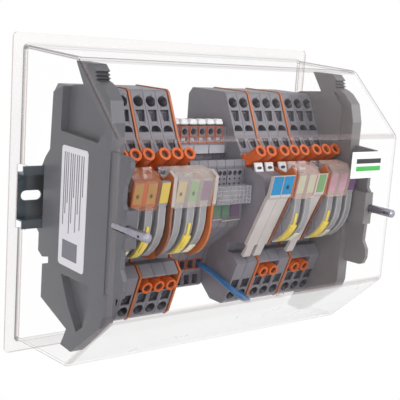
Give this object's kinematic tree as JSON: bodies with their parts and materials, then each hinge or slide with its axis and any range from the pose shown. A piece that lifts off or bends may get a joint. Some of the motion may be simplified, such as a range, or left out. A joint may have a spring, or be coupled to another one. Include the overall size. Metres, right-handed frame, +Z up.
{
  "type": "measuring terminal strip",
  "caption": "Rail-mounted strip of lever-operated disconnect terminals with test sockets, between two end carriers under a clear sealing hood.",
  "frame": {"origin": "middle of the mounting rail's back face", "axes": "+X along the rail to the right as seen from the front, +Y into the panel, +Z up"},
  "size_m": [0.2142, 0.1115, 0.1792],
  "materials": {
    "rail_zinc": "zinc-plated, smooth",
    "hood_clear": "clear, polished",
    "carrier_grey": "fine matt moulding",
    "housing_grey": "fine matt moulding",
    "lever_grey": "satin moulding",
    "orange_plastic": "satin moulding",
    "cap_clear": "clear, slightly tinted",
    "cap_tinted": "orange-tinted, clear",
    "pin_steel": "bright",
    "lead_blue": "smooth insulation"
  },
  "bodies": {
    "strip": {"mounting_rail": "rail_zinc", "left_carrier": "carrier_grey", "right_carrier": "carrier_grey", "left_seal_pin": "pin_steel", "right_seal_pin": "pin_steel", "left_terminal_1": "housing_grey", "left_terminal_2": "housing_grey", "left_terminal_3": "housing_grey", "left_terminal_4": "housing_grey", "left_terminal_5": "housing_grey", "left_terminal_6": "housing_grey", "middle_terminal_1": "housing_grey", "middle_terminal_2": "housing_grey", "middle_terminal_3": "housing_grey", "middle_terminal_4": "housing_grey", "middle_terminal_5": "housing_grey", "middle_terminal_6": "housing_grey", "right_terminal_1": "housing_grey", "right_terminal_2": "housing_grey", "right_terminal_3": "housing_grey", "right_terminal_4": "housing_grey", "right_terminal_5": "housing_grey", "right_terminal_6": "housing_grey", "right_terminal_7": "housing_grey", "right_terminal_8": "housing_grey", "right_front_1": "lever_grey", "right_front_2": "lever_grey", "right_front_5": "lever_grey", "left_sockets_a": "orange_plastic", "left_sockets_b": "orange_plastic", "right_sockets_a": "orange_plastic", "right_sockets_b": "orange_plastic", "right_sockets_c": "orange_plastic", "left_lower_sockets": "orange_plastic", "right_lower_sockets_a": "orange_plastic", "right_lower_sockets_b": "orange_plastic", "left_separator": "orange_plastic", "left_end_plate": "orange_plastic", "right_separator_a": "orange_plastic", "right_separator_b": "orange_plastic", "middle_end_plate": "carrier_grey", "insulated_lead": "lead_blue"},
    "hood": {"clear_hood": "hood_clear"},
    "left_levers_tied_a": {"left_lever_1": "lever_grey", "left_lever_2": "lever_grey", "left_cap_tinted": "cap_tinted"},
    "left_lever_single": {"left_lever_3": "lever_grey"},
    "left_levers_tied_b": {"left_lever_4": "lever_grey", "left_lever_5": "lever_grey", "left_lever_6": "lever_grey", "left_cap_clear": "cap_clear"},
    "right_levers_tied_a": {"right_lever_3": "lever_grey", "right_lever_4": "lever_grey", "right_cap_inner": "cap_clear"},
    "right_levers_tied_b": {"right_lever_6": "lever_grey", "right_lever_7": "lever_grey", "right_cap_outer": "cap_clear"},
    "right_lever_single": {"right_lever_8": "lever_grey"}
  },
  "joints": [
    {"name": "hood_lift_off", "type": "slide", "parent": "strip", "child": "hood", "axis": [0, -1, 0], "range_m": [0, 0.12]},
    {"name": "left_levers_tied_a_swing", "type": "hinge", "parent": "strip", "child": "left_levers_tied_a", "pos_m": [-0.0739, -0.062, 0.005], "axis": [1, 0, 0], "range_deg": [0, 55]},
    {"name": "left_lever_single_swing", "type": "hinge", "parent": "strip", "child": "left_lever_single", "pos_m": [-0.0619, -0.062, 0.005], "axis": [1, 0, 0], "range_deg": [0, 55]},
    {"name": "left_levers_tied_b_swing", "type": "hinge", "parent": "strip", "child": "left_levers_tied_b", "pos_m": [-0.04375, -0.062, 0.005], "axis": [1, 0, 0], "range_deg": [0, 55]},
    {"name": "right_levers_tied_a_swing", "type": "hinge", "parent": "strip", "child": "right_levers_tied_a", "pos_m": [0.0365, -0.062, 0.005], "axis": [1, 0, 0], "range_deg": [0, 55]},
    {"name": "right_levers_tied_b_swing", "type": "hinge", "parent": "strip", "child": "right_levers_tied_b", "pos_m": [0.06265, -0.062, 0.005], "axis": [1, 0, 0], "range_deg": [0, 55]},
    {"name": "right_lever_single_swing", "type": "hinge", "parent": "strip", "child": "right_lever_single", "pos_m": [0.07465, -0.062, 0.005], "axis": [1, 0, 0], "range_deg": [0, 55]}
  ]
}
